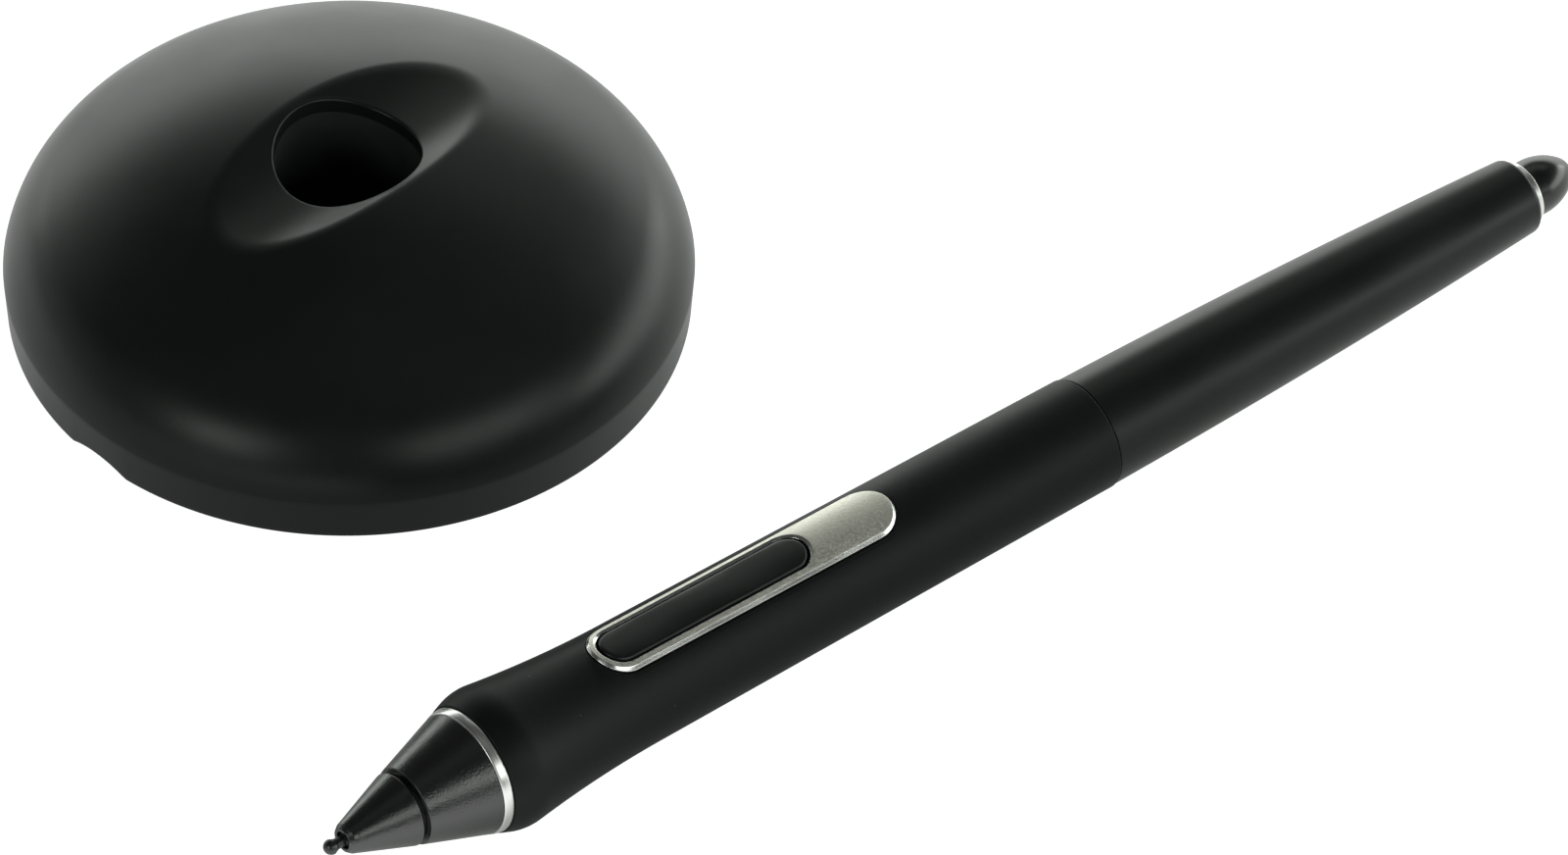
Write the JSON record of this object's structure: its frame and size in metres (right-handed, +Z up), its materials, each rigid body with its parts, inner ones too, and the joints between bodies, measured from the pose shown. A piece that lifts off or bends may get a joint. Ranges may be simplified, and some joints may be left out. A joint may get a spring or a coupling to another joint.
{
  "type": "digital drawing pen with stand",
  "caption": "Pressure-sensing drawing pen with rubber grip, rocker switch and eraser end, lying beside its round domed stand with a pen socket and spare nibs inside.",
  "frame": {"origin": "centre of the stand's foot, on the table", "axes": "+Z up, out of the stand's socket; +X along the lying pen from nib to eraser"},
  "size_m": [0.157, 0.1066, 0.0214],
  "materials": {
    "soft_black": "soft-touch coated ABS, fine satin",
    "grip_rubber": "matte moulded silicone rubber",
    "gloss_black": "polished moulded ABS",
    "satin_black": "satin moulded ABS",
    "bright_silver": "bright plated, lightly brushed",
    "satin_silver": "satin anodised, warm tint",
    "nib_black": "hard polyacetal",
    "nib_felt": "felt-like fibre nib",
    "foot_rubber": "fine-grained rubber sheet",
    "steel": "plain steel",
    "zinc_steel": "zinc plated",
    "ferrite": "sintered, matt",
    "copper": "enamelled copper wire",
    "inner_plastic": "natural nylon",
    "dark_inner_plastic": "moulded ABS, unpainted",
    "board_green": "solder-masked glass laminate",
    "component_black": "moulded epoxy"
  },
  "bodies": {
    "stand_base": {"stand_base": "dark_inner_plastic", "stand_foot": "foot_rubber", "stand_weight": "steel", "nib_tray": "dark_inner_plastic", "tray_screws": "zinc_steel", "spare_nibs_standard": "nib_black", "spare_nibs_felt": "nib_felt", "nib_remover": "zinc_steel"},
    "twist_ring": {"twist_ring": "inner_plastic"},
    "stand_top": {"stand_top": "soft_black"},
    "pen_body": {"nose_tip": "gloss_black", "nose_cone": "gloss_black", "nose_ring": "bright_silver", "ferrite_core": "ferrite", "antenna_coil": "copper", "core_holder": "inner_plastic", "nib_spring": "steel", "pressure_sensor": "dark_inner_plastic", "front_housing": "dark_inner_plastic", "grip_sleeve": "grip_rubber", "switch_bezel": "bright_silver", "rocker_pin": "steel", "switch_frame": "inner_plastic", "switch_plate": "satin_silver", "chassis": "dark_inner_plastic", "circuit_board": "board_green", "board_components": "component_black", "tact_switches": "component_black", "board_screws": "zinc_steel", "rear_barrel": "soft_black", "tail_ring": "bright_silver", "eraser_core": "ferrite", "eraser_coil": "copper", "eraser_carrier": "inner_plastic", "eraser_sensor": "dark_inner_plastic"},
    "nib_holder": {"nib_holder": "inner_plastic"},
    "nib": {"nib": "nib_black"},
    "rocker": {"rocker_button": "satin_black"},
    "eraser": {"eraser_cap": "gloss_black"}
  },
  "joints": [
    {"name": "top_twist", "type": "hinge", "parent": "stand_base", "child": "twist_ring", "pos_m": [0, 0, 0], "axis": [0, 0, 1], "range_deg": [-20, 0]},
    {"name": "top_lift", "type": "slide", "parent": "twist_ring", "child": "stand_top", "axis": [0, 0, 1], "range_m": [0, 0.035]},
    {"name": "pen_lift", "type": "slide", "parent": "stand_base", "child": "pen_body", "axis": [0, 0, 1], "range_m": [0, 0.1]},
    {"name": "nib_press", "type": "slide", "parent": "pen_body", "child": "nib_holder", "axis": [0.9998, 0, -0.0209], "range_m": [0, 0.0004], "stiffness_N_per_m": 900},
    {"name": "nib_pull", "type": "slide", "parent": "nib_holder", "child": "nib", "axis": [-0.9998, 0, 0.0209], "range_m": [0, 0.026]},
    {"name": "rocker_tilt", "type": "hinge", "parent": "pen_body", "child": "rocker", "pos_m": [-0.00792, -0.06511, 0.01128], "axis": [-0.001, -0.9988, -0.0488], "range_deg": [-2.7, 2.7], "stiffness_Nm_per_rad": 0.05},
    {"name": "eraser_press", "type": "slide", "parent": "pen_body", "child": "eraser", "axis": [-0.9998, 0, 0.0209], "range_m": [0, 0.0008], "stiffness_N_per_m": 900}
  ]
}
